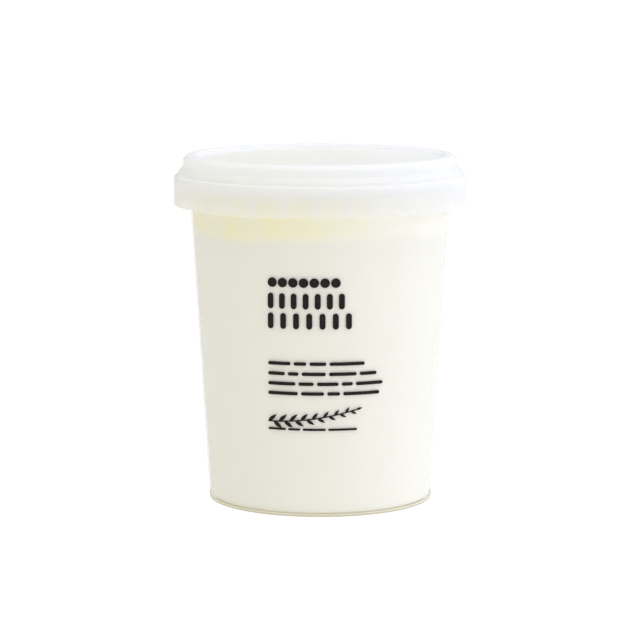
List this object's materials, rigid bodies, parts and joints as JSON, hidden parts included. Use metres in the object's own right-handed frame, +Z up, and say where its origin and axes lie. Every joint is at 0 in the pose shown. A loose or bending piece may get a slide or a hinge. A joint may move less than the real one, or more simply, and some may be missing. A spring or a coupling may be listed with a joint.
{
  "type": "lidded tub of yogurt",
  "caption": "Tall tapered round tub of set yogurt with a layer of cream on top, shut with a clip-over lid that has a stacking ring, a sunk panel and a ribbed skirt.",
  "frame": {"origin": "middle of the foot ring's underside, on the table under the axis of the tub", "axes": "+Z up along the axis of the tub, -Y towards the front, which carries the printed panel"},
  "size_m": [0.122, 0.122, 0.1443],
  "materials": {
    "tub_plastic": "translucent milky polypropylene, satin",
    "lid_plastic": "translucent frosted polypropylene, slightly greyer than the tub",
    "yogurt": "smooth set yogurt, soft off-white, slightly moist",
    "cream": "pale yellow cream, blotchy, slightly moist",
    "print_ink": "near-black warm printing ink on the wall of the tub"
  },
  "bodies": {
    "root": {"tub": "tub_plastic", "lid": "lid_plastic", "yogurt": "yogurt", "cream_layer": "cream"}
  },
  "joints": []
}
